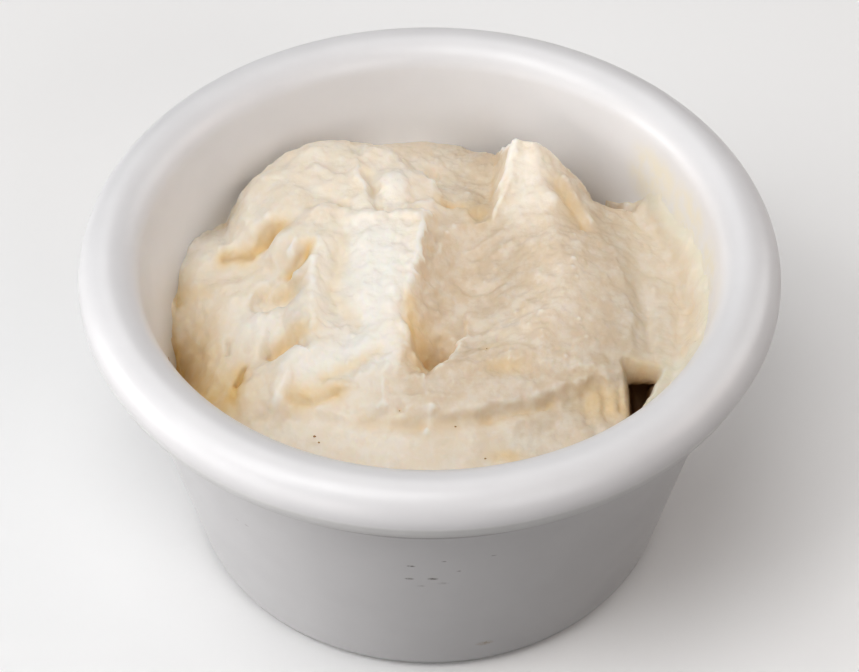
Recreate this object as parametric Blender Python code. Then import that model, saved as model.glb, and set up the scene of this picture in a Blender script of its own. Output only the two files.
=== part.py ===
"""Hummus in a small round ramekin.

There are two pieces. The ramekin is turned from one closed outline: a tapered wall
under a thick rolled rim, on a flat foot. The hummus is one solid that fills it. Its
top is a heap with the marks of the spoon that served it, made of named forms that
are joined softly: heaps, cuts, hollows, a ledge and a smear up the wall.

Lengths are in millimetres until a mesh is finished, which makes them metres.
X runs to the right, Y to the back and Z up, from under the middle of the base.
"""
import math

import bmesh
import bpy
import numpy as np

MM = 0.001

# Ramekin: driving sizes
TOP_RADIUS = 43.0
HEIGHT = 45.5
RIM_HALF_WIDTH = 3.84
RIM_HALF_HEIGHT = 4.05
BASE_RADIUS = 30.8
BASE_ROUNDING = 2.5
FOOT_WIDTH = 6.0
FOOT_DEPTH = 0.8
FLOOR_HEIGHT = 4.2
FLOOR_ROUNDING = 5.0

# Ramekin: worked out from them
RIM_RADIUS = TOP_RADIUS - RIM_HALF_WIDTH
RIM_LEVEL = HEIGHT - RIM_HALF_HEIGHT
MOUTH_RADIUS = RIM_RADIUS - RIM_HALF_WIDTH
WALL_TAPER = 0.2044
RIM_STEPS = 16
ROUNDING_STEPS = 3
TURN_STEPS = 64

# Hummus: how it sits in the ramekin, and how fine its mesh is
GAP = 0.3
GRID_CELLS = 48
EDGE_CROWDING = 0.5
BEARINGS = 720
SCAN_STEP = 0.05
HOLLOW_FLOOR = 18.0
HOLLOW_BACK = -9.9

# Colours as the maker sees them, with roughness
RAMEKIN_COLOUR = (0.87, 0.87, 0.88)
RAMEKIN_ROUGHNESS = 0.25
HUMMUS_COLOUR = (0.86, 0.76, 0.59)
HUMMUS_ROUGHNESS = 0.6


# ---- Soft joins and simple forms --------------------------------------------------

def soft_max(a, b, blend):
    """The higher of two surfaces, with their join rounded over `blend`."""
    share = np.clip(0.5 + 0.5 * (a - b) / blend, 0, 1)
    return b + (a - b) * share + blend * share * (1 - share)


def soft_min(a, b, blend):
    """The lower of two surfaces, with their join rounded over `blend`."""
    return -soft_max(-a, -b, blend)


def turned(x, y, at, turn):
    """Coordinates along and across a form that is turned by `turn` degrees at `at`."""
    cos, sin = math.cos(math.radians(turn)), math.sin(math.radians(turn))
    along = (x - at[0]) * cos + (y - at[1]) * sin
    across = (y - at[1]) * cos - (x - at[0]) * sin
    return along, across


def swell(x, y, at, radii, height, turn=0, flatness=2):
    """A soft bump of an oval plan, or a hollow where its height is negative."""
    along, across = turned(x, y, at, turn)
    spread = (along / radii[0]) ** 2 + (across / radii[1]) ** 2
    return height * np.exp(-spread ** (flatness / 2))


def dome(x, y, at, radii, top, drop, turn=0, fullness=2):
    """A dome with its top level at `top`, lower by `drop` at its radii."""
    along, across = turned(x, y, at, turn)
    spread = np.sqrt((along / radii[0]) ** 2 + (across / radii[1]) ** 2)
    return top - drop * spread ** fullness


def slope(x, y, through, rise_x, rise_y=0):
    """A flat face through a point, with its rise along X and along Y."""
    return through[2] + rise_x * (x - through[0]) + rise_y * (y - through[1])


def trough(distance, before, after):
    """1 where `distance` is `before` on its low side or `after` on its high side."""
    return (distance / np.where(distance < 0, before, after)) ** 2


def shelf(distance, softness):
    """Goes from 0 to 1 as `distance` passes 0."""
    return 0.5 + 0.5 * np.tanh(distance / softness)


# ---- The forms of the heap ------------------------------------------------------

def heap_body(x, y):
    """The broad heap: highest in the middle, sunken at the left front."""
    middle = np.hypot(x - 1, y - 2)
    level = 36.6 - 4.6 * (middle / 32) ** 3 - 0.05 * np.clip(-y - 10, 0, None)
    level = level + swell(x, y, (-31, -8), (12, 14), -4.0, turn=20)
    level = level + swell(x, y, (-28, 20), (7, 6), -1.8)
    back = dome(x, y, (-11, 16), (15, 15), 39.0, 7.0, turn=8, fullness=5)
    level = soft_max(level, back, 1.2) + swell(x, y, (4, 27), (9, 7), -1.8)
    right = dome(x, y, (13, 4), (13, 18), 38.7, 5.0, turn=-4)
    return soft_max(level, right, 1.5)


def crest_line(y):
    """Where the sharp crest runs, along Y."""
    return -1.8 + 0.11 * (y - 2)


def spooned_slab(x, y):
    """The flat-sided block left of the middle, hollowed along its left part."""
    spine = 39.6 - 0.0055 * np.clip(12 - y, 0, None) ** 2
    hollow = swell(x, y, (-11.0, 2), (2.6, 14), -1.3, flatness=2.5)
    top = spine + 0.07 * (x + 8) + hollow
    left = slope(x, y, (-14.9, 0, 39.0), 1.3, 0.03)
    crest_fade = 4.5 * shelf(-y - 12, 2.0)
    right = 40.4 - 2.6 * (x - crest_line(y)) + crest_fade
    back = slope(x, y, (0, 11.3, 40.3), 0, -1.6)
    front = slope(x, y, (0, -15.5, 36.6), 0.10, 0.9)
    sides = soft_min(soft_min(top, left, 0.9), soft_min(right, back, 0.5), 0.7)
    return soft_min(sides, front, 1.5)


def pulled_peak(x, y):
    """The pointed peak at the back right: three flat faces that meet at its tip."""
    tip = (11.0, 23.6, 41.6)
    front = slope(x, y, tip, 0.34, 0.26)
    right = slope(x, y, (14.4, 19.2, 40.7), -0.77, 0.10)
    left = slope(x, y, tip, 3.0, -0.50)
    return soft_min(soft_min(front, right, 0.5), left, 0.4)


def back_fall(x, y):
    """The steep back of the peak and of the shoulder to its right."""
    peak = slope(x, y, (11.0, 23.6, 41.4), -0.67, -1.6)
    flank = slope(x, y, (15.5, 22.6, 40.0), -1.92, -1.6)
    shoulder = slope(x, y, (21.9, 17.4, 36.0), -0.32, -1.6)
    return soft_max(soft_min(peak, flank, 0.6), shoulder, 0.5)


def scooped(x, y, level):
    """The deep hollow that a spoon left to the right of the crest."""
    across = x - 2.8 - 0.18 * y
    along = y + 2.0
    bowl = 33.2 + trough(across, 2.1, 5.2) + trough(along, 5.6, 8.6)
    edge_softness = 0.4 + 0.35 * np.clip(across, 0, 9)
    pit = swell(x, y, (0.2, -7.2), (2.6, 3.2), -1.7, turn=15, flatness=4)
    return soft_min(level, bowl, edge_softness) + pit


def left_lumps(x, y):
    """Lumps, a furrow and pits on the left flank."""
    furrow = (swell(x, y, (-20.0, 9.9), (3.4, 1.5), -1.8, turn=38)
              + swell(x, y, (-24.0, 7.8), (3.2, 1.4), -1.3, turn=15))
    lumps = (swell(x, y, (-18.0, 7.0), (3.0, 2.0), 1.0, turn=20)
             + swell(x, y, (-28.0, 10.0), (5.0, 3.0), 1.0, turn=25)
             + swell(x, y, (-21.5, -3.2), (4.0, 2.4), 1.3, turn=10)
             + swell(x, y, (-19.6, -12.6), (3.4, 3.6), 1.9, turn=-20, flatness=3)
             + swell(x, y, (-26.0, 1.0), (4.5, 3.5), 0.9, turn=20))
    pits = (swell(x, y, (-19.0, 0.9), (3.4, 1.7), -1.5, turn=10)
            + swell(x, y, (-17.6, -7.8), (3.2, 1.7), -1.8, flatness=3)
            + swell(x, y, (-15.9, 5.4), (1.3, 1.3), -1.2)
            + swell(x, y, (-32.0, -3.5), (3.2, 5.0), -4.0, turn=-10))
    return furrow + lumps + pits


def front_ledge(x, y):
    """The step down to a lower layer along the front of the heap."""
    line = -17.9 + 0.0105 * (x + 3) ** 2
    past_ends = np.clip(np.abs(x + 1) - 16, 0, None)
    lowered = np.exp(-(np.clip(line - y, 0, None) / 14) ** 2)
    return -1.5 * shelf(line - y, 0.35) * lowered * np.exp(-(past_ends / 5) ** 2)


def wall_smear(x, y):
    """Hummus wiped up the inside of the wall on the right."""
    bearing = np.degrees(np.arctan2(y, x))
    reach = np.exp(-(np.clip(np.abs(bearing - 9) - 20, 0, None) / 10) ** 2)
    thickness = 1.9 * reach
    face = RIM_LEVEL + (np.hypot(x, y) - MOUTH_RADIUS + thickness) / WALL_TAPER
    return soft_min(face, 30 + 9.3 * reach, 1.0)


def heap_height(x, y):
    """The level of the hummus over the point x, y."""
    level = soft_max(heap_body(x, y), spooned_slab(x, y), 0.8)
    level = soft_max(level, pulled_peak(x, y), 0.8)
    level = soft_min(level, back_fall(x, y), 0.6)
    level = scooped(x, y, level) + left_lumps(x, y) + front_ledge(x, y)
    level = soft_max(level, wall_smear(x, y), 2.5)
    level = level + swell(x, y, (26.4, 2.0), (1.7, 7.0), -0.9)
    hollow = shelf(x - 24.5, 0.35) * shelf(HOLLOW_BACK - y, 0.35)
    return level + (HOLLOW_FLOOR - level) * hollow


# ---- The ramekin ----------------------------------------------------------------

def inner_radius(level):
    """The radius of the inside of the wall at a level."""
    return MOUTH_RADIUS + (level - RIM_LEVEL) * WALL_TAPER


def arc(middle, radii, start, end, steps):
    """Points of an arc between two angles in degrees, its ends included."""
    points = []
    for step in range(steps + 1):
        angle = math.radians(start + (end - start) * step / steps)
        points.append((middle[0] + radii[0] * math.cos(angle),
                       middle[1] + radii[1] * math.sin(angle)))
    return points


def ramekin_outline():
    """The ramekin's section from the underside's middle, up the outside and back in."""
    lean = math.degrees(math.atan(WALL_TAPER))
    foot_edge = BASE_RADIUS - BASE_ROUNDING - 0.2
    foot = [(0, FOOT_DEPTH), (foot_edge - FOOT_WIDTH - FOOT_DEPTH, FOOT_DEPTH),
            (foot_edge - FOOT_WIDTH, 0)]
    base_edge = arc((foot_edge, BASE_ROUNDING), (BASE_ROUNDING, BASE_ROUNDING),
                    -90, -lean, ROUNDING_STEPS)
    rim = arc((RIM_RADIUS, RIM_LEVEL), (RIM_HALF_WIDTH, RIM_HALF_HEIGHT),
              -101, 180, RIM_STEPS)
    turn_in = FLOOR_HEIGHT + FLOOR_ROUNDING * (1 - math.sin(math.radians(lean)))
    floor_edge = inner_radius(turn_in) - FLOOR_ROUNDING * math.cos(math.radians(lean))
    floor = arc((floor_edge, FLOOR_HEIGHT + FLOOR_ROUNDING),
                (FLOOR_ROUNDING, FLOOR_ROUNDING), -lean, -90, ROUNDING_STEPS)
    neck = [(inner_radius(RIM_LEVEL - 2.0), RIM_LEVEL - 2.0)]
    return foot + base_edge + rim + neck + floor + [(0, FLOOR_HEIGHT)]


def make_ramekin():
    """Turn the outline round Z."""
    mesh = bmesh.new()
    points = [mesh.verts.new((radius, 0, level)) for radius, level in ramekin_outline()]
    edges = [mesh.edges.new(pair) for pair in zip(points, points[1:])]
    bmesh.ops.spin(mesh, geom=points + edges, axis=(0, 0, 1), cent=(0, 0, 0),
                   angle=math.tau, steps=TURN_STEPS, use_merge=True)
    return finished("ramekin", mesh, RAMEKIN_COLOUR, RAMEKIN_ROUGHNESS, 35)


# ---- The hummus -----------------------------------------------------------------

def contact_radii():
    """For each bearing, the radius at which the top of the hummus meets the wall."""
    bearings = np.linspace(-math.pi, math.pi, BEARINGS + 1)
    radii = np.arange(20, MOUTH_RADIUS, SCAN_STEP)
    bearing, radius = np.meshgrid(bearings, radii, indexing="ij")
    level = heap_height(radius * np.cos(bearing), radius * np.sin(bearing))
    outside = radius + GAP >= inner_radius(level)
    return bearings, radii[np.argmax(outside, axis=1)]


def disc_from_square(u, v):
    """Move a square from -1 to 1 onto the disc of radius 1."""
    return u * np.sqrt(1 - v * v / 2), v * np.sqrt(1 - u * u / 2)


def shape_top(mesh):
    """Turn the grid into the heap's top, out to where it meets the wall."""
    grid = np.array([vert.co[:2] for vert in mesh.verts])
    across, along = disc_from_square(grid[:, 0], grid[:, 1])
    bearing = np.arctan2(along, across)
    share = np.clip(np.hypot(across, along), 0, 1)
    crowding = EDGE_CROWDING * math.pi / 2
    share = np.sin(share * crowding) / math.sin(crowding)
    radius = share * np.interp(bearing, *contact_radii())
    x, y = radius * np.cos(bearing), radius * np.sin(bearing)
    for vert, place in zip(mesh.verts, np.stack([x, y, heap_height(x, y)], axis=1)):
        vert.co = place


def extend_skirt(mesh, radius, level):
    """Carry the open edge on to a ring of a radius and level, and return its edges."""
    edge = [e for e in mesh.edges if e.is_boundary]
    made = bmesh.ops.extrude_edge_only(mesh, edges=edge)["geom"]
    for vert in (item for item in made if isinstance(item, bmesh.types.BMVert)):
        scale = radius / math.hypot(vert.co.x, vert.co.y)
        vert.co = (vert.co.x * scale, vert.co.y * scale, level)


def make_hummus():
    """The heap's top on a plug that fills the ramekin, just clear of it."""
    mesh = bmesh.new()
    bmesh.ops.create_grid(mesh, x_segments=GRID_CELLS, y_segments=GRID_CELLS, size=1)
    shape_top(mesh)
    turn_in = FLOOR_HEIGHT + FLOOR_ROUNDING
    extend_skirt(mesh, inner_radius(turn_in) - GAP, turn_in)
    middle = FLOOR_HEIGHT + 0.3 * FLOOR_ROUNDING
    extend_skirt(mesh, inner_radius(turn_in) - 0.3 * FLOOR_ROUNDING - GAP, middle + GAP)
    bottom = FLOOR_HEIGHT + GAP
    extend_skirt(mesh, inner_radius(turn_in) - FLOOR_ROUNDING - GAP, bottom)
    rim = [e for e in mesh.edges if e.is_boundary]
    bmesh.ops.contextual_create(mesh, geom=rim)
    return finished("hummus", mesh, HUMMUS_COLOUR, HUMMUS_ROUGHNESS, 50)


# ---- Finishing ------------------------------------------------------------------

def material(name, colour, roughness):
    """A Principled material of one colour."""
    made = bpy.data.materials.new(name)
    made.use_nodes = True
    shader = made.node_tree.nodes["Principled BSDF"]
    shader.inputs["Base Color"].default_value = (*colour, 1)
    shader.inputs["Roughness"].default_value = roughness
    shader.inputs["Metallic"].default_value = 0
    return made


def finished(name, mesh, colour, roughness, sharp_degrees):
    """Close the mesh, turn its faces outwards and make it an object in metres."""
    bmesh.ops.remove_doubles(mesh, verts=mesh.verts, dist=0.001)
    bmesh.ops.recalc_face_normals(mesh, faces=mesh.faces)
    bmesh.ops.scale(mesh, vec=(MM, MM, MM), verts=mesh.verts)
    data = bpy.data.meshes.new(name)
    mesh.to_mesh(data)
    mesh.free()
    data.shade_smooth()
    data.set_sharp_from_angle(angle=math.radians(sharp_degrees))
    data.materials.append(material(name, colour, roughness))
    piece = bpy.data.objects.new(name, data)
    bpy.context.scene.collection.objects.link(piece)
    return piece


def main():
    for old in list(bpy.data.objects):
        bpy.data.objects.remove(old, do_unlink=True)
    make_ramekin()
    make_hummus()


main()
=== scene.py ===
"""Hummus in a small round ramekin, finished for rendering.

The ramekin is turned from a fine outline with its mould line and foot, and the hummus
is a finely meshed heap: the same named forms as its solid, with torn edges, crumbs,
spoon marks and grain on them. A stage adds a floor, a camera and soft lights.

Lengths are in millimetres until a mesh is finished, which makes them metres.
X runs to the right, Y to the back and Z up, from under the middle of the base.
"""
import math

import bmesh
import bpy
import numpy as np
from mathutils import Matrix, Vector, noise


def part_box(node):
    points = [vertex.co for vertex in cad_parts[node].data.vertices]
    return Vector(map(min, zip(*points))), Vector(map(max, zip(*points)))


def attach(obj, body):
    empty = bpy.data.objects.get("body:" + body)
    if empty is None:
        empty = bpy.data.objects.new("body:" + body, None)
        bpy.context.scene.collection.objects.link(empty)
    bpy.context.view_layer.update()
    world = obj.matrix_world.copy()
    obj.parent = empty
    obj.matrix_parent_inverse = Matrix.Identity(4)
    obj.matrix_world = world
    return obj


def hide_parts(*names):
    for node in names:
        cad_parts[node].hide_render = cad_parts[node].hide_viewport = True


bl_info = {
    "name": "Ramekin of Hummus",
    "version": (1, 0, 0),
    "blender": (4, 5, 0),
    "location": "3D View > Sidebar > Hummus",
    "description": "Makes a white ramekin filled with spooned hummus, and a stage for it",
    "category": "Add Mesh",
}

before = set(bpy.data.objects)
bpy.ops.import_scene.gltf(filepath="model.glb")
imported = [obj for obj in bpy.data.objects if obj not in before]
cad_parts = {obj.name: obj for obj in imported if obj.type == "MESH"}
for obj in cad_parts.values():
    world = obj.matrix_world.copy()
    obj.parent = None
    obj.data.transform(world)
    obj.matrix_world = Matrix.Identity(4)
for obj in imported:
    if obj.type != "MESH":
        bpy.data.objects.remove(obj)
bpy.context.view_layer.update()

MM = 0.001
_, RAMEKIN_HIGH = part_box("ramekin")

# Ramekin: sizes that its outline is worked out from
TOP_RADIUS = RAMEKIN_HIGH.x / MM
HEIGHT = RAMEKIN_HIGH.z / MM
BASE_ROUNDING = 2.5
FOOT_WIDTH = 6.0
FOOT_DEPTH = 0.8
FLOOR_HEIGHT = 4.2
FLOOR_ROUNDING = 5.0
RIM_STEPS = 56
ROUNDING_STEPS = 8
TURN_STEPS = 288
MOULD_STEP = 0.28

# Levels of the painted highlight on the rim's lower edge, and of painted shade on the wall beneath
RIM_HIGHLIGHT = (39.2, 41.2)
RIM_SHADE = (34.0, 37.2)

# Hummus: how it sits in the ramekin, and how fine its mesh is
TUCK = 0.5
GRID_CELLS = 300
EDGE_CROWDING = 0.25
BEARINGS = 720
SCAN_STEP = 0.05
HOLLOW_FLOOR = 18.0
HOLLOW_RIM = 30.6
HOLLOW_BACK = -9.9
HOLLOW_LEFT = 24.4
HOLLOW_REACH = 29.7
HOLLOW_SLOPE = 5.5
PLUG_DEPTH = 8.0

# Specks on the hummus: X, Y and radius of each
SPECKS = (
    (-13.8, -20.3, 0.19),
    (-13.2, -20.9, 0.14),
    (3.1, -19.4, 0.13),
    (6.6, -23.6, 0.15),
    (-3.5, -17.9, 0.13),
    (7.1, -8.3, 0.11),
)

# Scuffs on the outside of the wall: X, level, length and strength of each
SCUFFS = (
    (-2.2, 26.9, 0.75, 0.9),
    (-2.4, 23.7, 0.85, 1.0),
    (0.4, 23.8, 0.95, 1.0),
    (1.7, 28.1, 0.5, 0.7),
    (3.5, 25.5, 0.5, 0.9),
    (7.6, 28.4, 0.5, 0.8),
    (-23.3, 25.0, 0.5, 0.5),
    (-22.1, 25.1, 0.6, 0.4),
    (-10.1, 15.7, 0.45, 0.8),
    (-1.0, 22.0, 0.9, 0.25),
    (1.6, 22.6, 1.1, 0.25),
)
# A dried spill low on the wall, given the same way
SPILL = (7.0, 5.5, 1.6, 0.6)

# Hummus wiped thinly on the inside of the wall: X, Y, level and reach of each patch
WIPES = (
    (36.6, 2, 37.5, 6.5),
    (34.4, 12, 38.5, 7),
    (30, 20, 38.5, 6.5),
)

# Lights: name, bearing from the camera's side towards X, elevation, size in metres,
# power in watts and tint
LIGHT_DISTANCE = 0.8
WHITE = (1, 1, 1)
WARM = (1, 0.93, 0.89)
TABLE = (1, 0.86, 0.77)
LIGHTS = (
    ("window", -30, 68, 0.40, 1.36, WHITE),
    ("side_window", -60, 48, 0.40, 1.04, WHITE),
    ("low_window", -60, 8, 0.40, 0.95, WHITE),
    ("low_left", -90, 8, 0.40, 2.00, WHITE),
    ("low_front", -30, 8, 0.40, 0.92, WARM),
    ("front_fill", 30, 28, 0.40, 0.89, WHITE),
    ("right_fill", 90, 28, 0.40, 0.80, TABLE),
    ("back_right", 120, 28, 0.40, 0.66, WHITE),
    ("back_left", -150, 48, 0.40, 0.44, WHITE),
    ("back_fill", 180, 68, 0.40, 0.43, WHITE),
    ("low_back", 180, 8, 0.40, 0.30, WHITE),
)


# ---- Settings -------------------------------------------------------------------

def length(name, description, size, **more):
    """A length property whose default is `size` in millimetres."""
    return bpy.props.FloatProperty(name=name, description=description, default=size * MM,
                                   unit="LENGTH", subtype="DISTANCE", precision=4, **more)


def colour(name, description, default):
    """A colour property."""
    return bpy.props.FloatVectorProperty(name=name, description=description, size=3,
                                         default=default, subtype="COLOR", min=0, max=1)


def share(name, description, default, **more):
    """A plain number from 0 to 1."""
    return bpy.props.FloatProperty(name=name, description=description, default=default,
                                   min=0, max=1, subtype="FACTOR", **more)


class RamekinSettings(bpy.types.PropertyGroup):
    """Sizes and finish of the ramekin."""
    rim_width: length("Rim Width", "Width of the rolled rim", 7.68)
    rim_height: length("Rim Height", "Height of the rolled rim", 8.10)
    base_width: length("Base Width", "Width of the wall at the base", 61.6)
    wall_taper: share("Wall Taper", "How far the wall leans out for each unit up", 0.2044)
    glaze: colour("Colour", "Colour of the clean ramekin", (0.80, 0.795, 0.805))
    roughness: share("Roughness", "Roughness of the clean ramekin", 0.32)
    stain: colour("Stain", "Colour of hummus wiped thinly on the wall",
                  (0.82, 0.775, 0.665))
    # Painted highlight: this colour lightens a band of the rim's lower edge
    clean: colour("Clean Edge", "Colour of the clean lower edge of the rim",
                  (0.88, 0.88, 0.88))
    spill: colour("Spill", "Colour of a dried spill low on the wall", (0.42, 0.30, 0.16))
    # Also used as painted shade on the outer wall just under the rim
    scuff_and_shade: colour("Scuff", "Colour of scuffs on the outside", (0.19, 0.165, 0.16))


class HummusSettings(bpy.types.PropertyGroup):
    """Relief and colours of the hummus."""
    lump_height: length("Lump Height", "Height of the soft lumps", 0.36)
    lump_size: length("Lump Size", "Width of the soft lumps", 2.8)
    clump_height: length("Clump Height", "Height of clumps where the paste tore", 0.18)
    clump_size: length("Clump Size", "Width of the clumps", 1.1)
    crumb_height: length("Crumb Height", "Height of the crumbs on them", 0.24)
    crumb_size: length("Crumb Size", "Distance between the crumbs", 1.0)
    stroke_height: length("Stroke Height", "Height of the spoon's fine marks", 0.03)
    grain_height: length("Grain Height", "Height of the fine grain", 0.08)
    grain_size: length("Grain Size", "Width of the fine grain", 0.7)
    tear_depth: length("Tear Depth", "How far torn edges wander", 0.30)
    paste: colour("Paste", "Colour of the paste", (0.89, 0.80, 0.675))
    # Used for painted light on lit faces and crests, and for the paste's random mottling
    pale: colour("Pale Paste", "Colour of dry crests and crumbs", (0.945, 0.915, 0.86))
    # Painted shade: the colour of the side that faces away from the light
    tan: colour("Tan Paste", "Colour of the scooped and smeared side", (0.745, 0.625, 0.485))
    # Also painted shade: the golden in hollows and pits stands for their shade
    golden: colour("Golden Paste", "Colour in hollows and where oil gathers",
                   (0.85, 0.628, 0.318))
    # Painted shade: the deep brown put in the hole, under its lip and in deep creases
    deep_shade: colour("Dark Paste", "Colour at the bottom of deep creases", (0.27, 0.125, 0.03))
    speck: colour("Speck", "Darker colour of the specks", (0.30, 0.16, 0.06))
    light_speck: colour("Light Speck", "Lighter colour of the specks", (0.56, 0.38, 0.18))
    roughness: share("Roughness", "Roughness of the paste", 0.52)


class StageSettings(bpy.types.PropertyGroup):
    """Camera, floor and lights."""
    aim_height: length("Aim Height", "Level that the camera looks at", 28.81)
    distance: length("Distance", "From the camera to what it looks at", 364.5)
    elevation: bpy.props.FloatProperty(
        name="Elevation", description="How steeply the camera looks down",
        default=math.radians(45.593), subtype="ANGLE", unit="ROTATION")
    lens: bpy.props.FloatProperty(
        name="Lens", description="Focal length on a 36 mm sensor", default=121.37,
        min=1, unit="CAMERA")
    floor: colour("Floor", "Colour of the floor", (0.95, 0.95, 0.95))
    brightness: bpy.props.FloatProperty(
        name="Brightness", description="Multiplies every light", default=1.0, min=0)


# ---- Soft joins and simple forms --------------------------------------------------

def soft_max(a, b, blend):
    """The higher of two surfaces, with their join rounded over `blend`."""
    part = np.clip(0.5 + 0.5 * (a - b) / blend, 0, 1)
    return b + (a - b) * part + blend * part * (1 - part)


def soft_min(a, b, blend):
    """The lower of two surfaces, with their join rounded over `blend`."""
    return -soft_max(-a, -b, blend)


def turned(x, y, at, turn):
    """Coordinates along and across a form that is turned by `turn` degrees at `at`."""
    cos, sin = math.cos(math.radians(turn)), math.sin(math.radians(turn))
    along = (x - at[0]) * cos + (y - at[1]) * sin
    across = (y - at[1]) * cos - (x - at[0]) * sin
    return along, across


def swell(x, y, at, radii, height, turn=0, flatness=2):
    """A soft bump of an oval plan, or a hollow where its height is negative."""
    along, across = turned(x, y, at, turn)
    spread = (along / radii[0]) ** 2 + (across / radii[1]) ** 2
    return height * np.exp(-spread ** (flatness / 2))


def dome(x, y, at, radii, top, drop, turn=0, fullness=2):
    """A dome with its top level at `top`, lower by `drop` at its radii."""
    along, across = turned(x, y, at, turn)
    spread = np.sqrt((along / radii[0]) ** 2 + (across / radii[1]) ** 2)
    return top - drop * spread ** fullness


def slope(x, y, through, rise_x, rise_y=0):
    """A flat face through a point, with its rise along X and along Y."""
    return through[2] + rise_x * (x - through[0]) + rise_y * (y - through[1])


def trough(distance, before, after):
    """A valley's rise: 1 at `before` on the low side and at `after` on the high side."""
    return (distance / np.where(distance < 0, before, after)) ** 2


def shelf(distance, softness):
    """Goes from 0 to 1 as `distance` passes 0."""
    return 0.5 + 0.5 * np.tanh(distance / softness)


def from_path(x, y, path):
    """Distance to a path, which side of it (1 on its left), and the place along it."""
    best = np.full(x.shape, np.inf)
    side = np.ones(x.shape)
    along = np.zeros(x.shape)
    for leg, ((from_x, from_y), (to_x, to_y)) in enumerate(zip(path, path[1:])):
        run, rise = to_x - from_x, to_y - from_y
        part = ((x - from_x) * run + (y - from_y) * rise) / (run * run + rise * rise)
        part = np.clip(part, 0, 1)
        off_x, off_y = x - from_x - part * run, y - from_y - part * rise
        distance = np.hypot(off_x, off_y)
        nearer = distance < best
        best = np.where(nearer, distance, best)
        side = np.where(nearer, np.where(run * off_y - rise * off_x < 0, -1, 1), side)
        along = np.where(nearer, (leg + part) / (len(path) - 1), along)
    return best, side, along


def ridge(x, y, path, width, height, flatness=2):
    """A ridge along a path, or a groove where its height is negative."""
    distance, _, _ = from_path(x, y, path)
    return height * np.exp(-(distance / width) ** flatness)


def torn_edge(x, y, path, width, height, softness=0.25):
    """A step along a path: its left side is raised and its right side lowered."""
    distance, side, along = from_path(x, y, path)
    fade = np.sin(np.pi * along) ** 0.5
    return height * side * fade * np.tanh(distance / softness) * np.exp(-(distance / width) ** 2)


def total(x, y, forms):
    """The sum of the forms in a table, whose rows hold a form's function and its sizes."""
    return sum(form(x, y, *sizes) for form, *sizes in forms)


# ---- The forms of the heap ------------------------------------------------------

def heap_body(x, y):
    """The broad heap: highest in the middle, sunken at the left front."""
    middle = np.hypot(x - 1, y - 2)
    level = 36.6 - 4.6 * (middle / 32) ** 3 - 0.05 * np.clip(-y - 10, 0, None)
    level = level + swell(x, y, (-31, -8), (12, 14), -4.0, turn=20)
    level = level + swell(x, y, (-28, 20), (7, 6), -1.8)
    back = dome(x, y, (-11, 16), (15, 15), 39.0, 7.0, turn=8, fullness=5)
    level = soft_max(level, back, 1.2) + swell(x, y, (4, 27), (9, 7), -1.8)
    right = dome(x, y, (13, 4), (13, 18), 38.7, 5.0, turn=-4)
    return soft_max(level, right, 1.5)


def crest_line(y):
    """The X at which the sharp crest runs, for each Y."""
    return -1.8 + 0.11 * (y - 2)


def spooned_slab(x, y):
    """The flat-sided block left of the middle, hollowed along its left part."""
    spine = 39.6 - 0.0055 * np.clip(12 - y, 0, None) ** 2
    hollow = swell(x, y, (-11.0, 2), (2.6, 14), -1.3, flatness=2.5)
    top = spine + 0.07 * (x + 8) + hollow
    left = slope(x, y, (-14.9, 0, 39.0), 1.3, 0.03)
    crest_fade = 4.5 * shelf(-y - 12, 2.0)
    right = 40.4 - 2.6 * (x - crest_line(y)) + crest_fade
    back = slope(x, y, (0, 11.3, 40.3), 0, -1.6)
    front = slope(x, y, (0, -15.5, 36.6), 0.10, 0.9)
    sides = soft_min(soft_min(top, left, 0.9), soft_min(right, back, 0.5), 0.4)
    return soft_min(sides, front, 1.5)


def pulled_peak(x, y):
    """The pointed peak at the back right: three flat faces that meet at its tip."""
    tip = (11.0, 23.6, 41.6)
    front = slope(x, y, tip, 0.34, 0.26)
    right = slope(x, y, (14.4, 19.2, 40.7), -0.77, 0.10)
    left = slope(x, y, tip, 3.0, -0.50)
    return soft_min(soft_min(front, right, 0.5), left, 0.4)


def back_fall(x, y):
    """The steep back of the peak and of the shoulder to its right."""
    peak = slope(x, y, (11.0, 23.6, 41.4), -0.67, -1.6)
    flank = slope(x, y, (15.5, 22.6, 40.0), -1.92, -1.6)
    shoulder = slope(x, y, (21.9, 17.4, 36.0), -0.32, -1.6)
    return soft_max(soft_min(peak, flank, 0.6), shoulder, 0.5)


def scooped(x, y, level):
    """The deep hollow that a spoon left to the right of the crest."""
    across = x - 2.8 - 0.18 * y
    along = y + 2.0
    bowl = 33.2 + trough(across, 2.1, 5.2) + trough(along, 5.6, 8.6)
    edge_softness = 0.4 + 0.35 * np.clip(across, 0, 9)
    pit = swell(x, y, (0.2, -7.2), (2.6, 3.2), -1.7, turn=15, flatness=4)
    return soft_min(level, bowl, edge_softness) + pit


# Lumps, a furrow and pits on the left flank
LEFT_LUMPS = (
    (swell, (-20.0, 9.9), (3.4, 1.5), -1.6, 38), (swell, (-24.0, 7.8), (3.2, 1.4), -1.3, 15),
    (swell, (-18.0, 7.0), (3.0, 2.0), 1.0, 20), (swell, (-28.0, 10.0), (5.0, 3.0), 1.0, 25),
    (swell, (-21.5, -3.2), (4.0, 2.4), 1.3, 10), (swell, (-19.6, -12.6), (3.4, 3.6), 1.9, -20, 3),
    (swell, (-26.0, 1.0), (4.5, 3.5), 0.9, 20), (swell, (-19.0, 0.9), (3.4, 1.7), -1.5, 10),
    (swell, (-17.6, -7.8), (3.2, 1.7), -1.8, 0, 3), (swell, (-15.9, 5.4), (1.3, 1.3), -1.2),
    (swell, (-32.0, -3.5), (3.2, 5.0), -4.0, -10),
)


def ledge_line(x):
    """The Y at which the front ledge runs, for each X."""
    return -18.9 + 0.0115 * (x + 3) ** 2 + 0.18 * np.sin(0.8 * x + 1) + 0.06 * np.sin(1.9 * x)


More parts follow.
